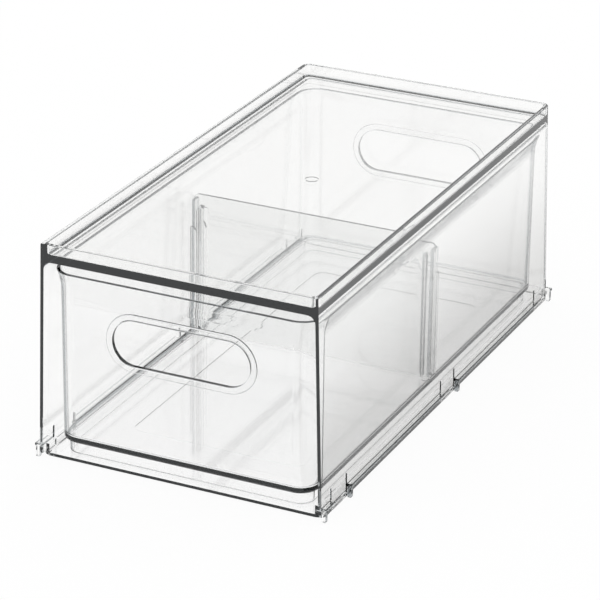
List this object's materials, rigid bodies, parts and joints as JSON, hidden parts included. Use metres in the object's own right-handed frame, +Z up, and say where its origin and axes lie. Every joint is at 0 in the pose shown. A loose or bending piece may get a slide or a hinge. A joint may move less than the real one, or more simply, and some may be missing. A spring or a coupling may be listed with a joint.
{
  "type": "stackable drawer box",
  "caption": "Clear stackable drawer box: open-fronted case with a stacking rim, a pull-out bin with grip slots and a lift-out divider.",
  "frame": {"origin": "Middle of the footprint, at the level of the foot nubs that touch the surface the box stands on.", "axes": "+Z is up. +Y runs from the open front to the closed back, so the bin pulls out along -Y. +X is to the right seen from the front."},
  "size_m": [0.198, 0.37, 0.1432],
  "materials": {
    "clear_shell": "clear polished injection-moulded plastic",
    "clear_base": "clear polished injection-moulded plastic",
    "clear_bin": "clear polished injection-moulded plastic",
    "clear_divider": "clear polished injection-moulded plastic"
  },
  "bodies": {
    "case": {"outer_shell": "clear_shell", "base_tray": "clear_base"},
    "drawer": {"drawer_bin": "clear_bin"},
    "divider": {"divider": "clear_divider"}
  },
  "joints": [
    {"name": "drawer_slide", "type": "slide", "parent": "case", "child": "drawer", "axis": [0, -1, 0], "range_m": [0, 0.3]},
    {"name": "divider_lift", "type": "slide", "parent": "drawer", "child": "divider", "axis": [0, 0, 1], "range_m": [0, 0.021]}
  ]
}
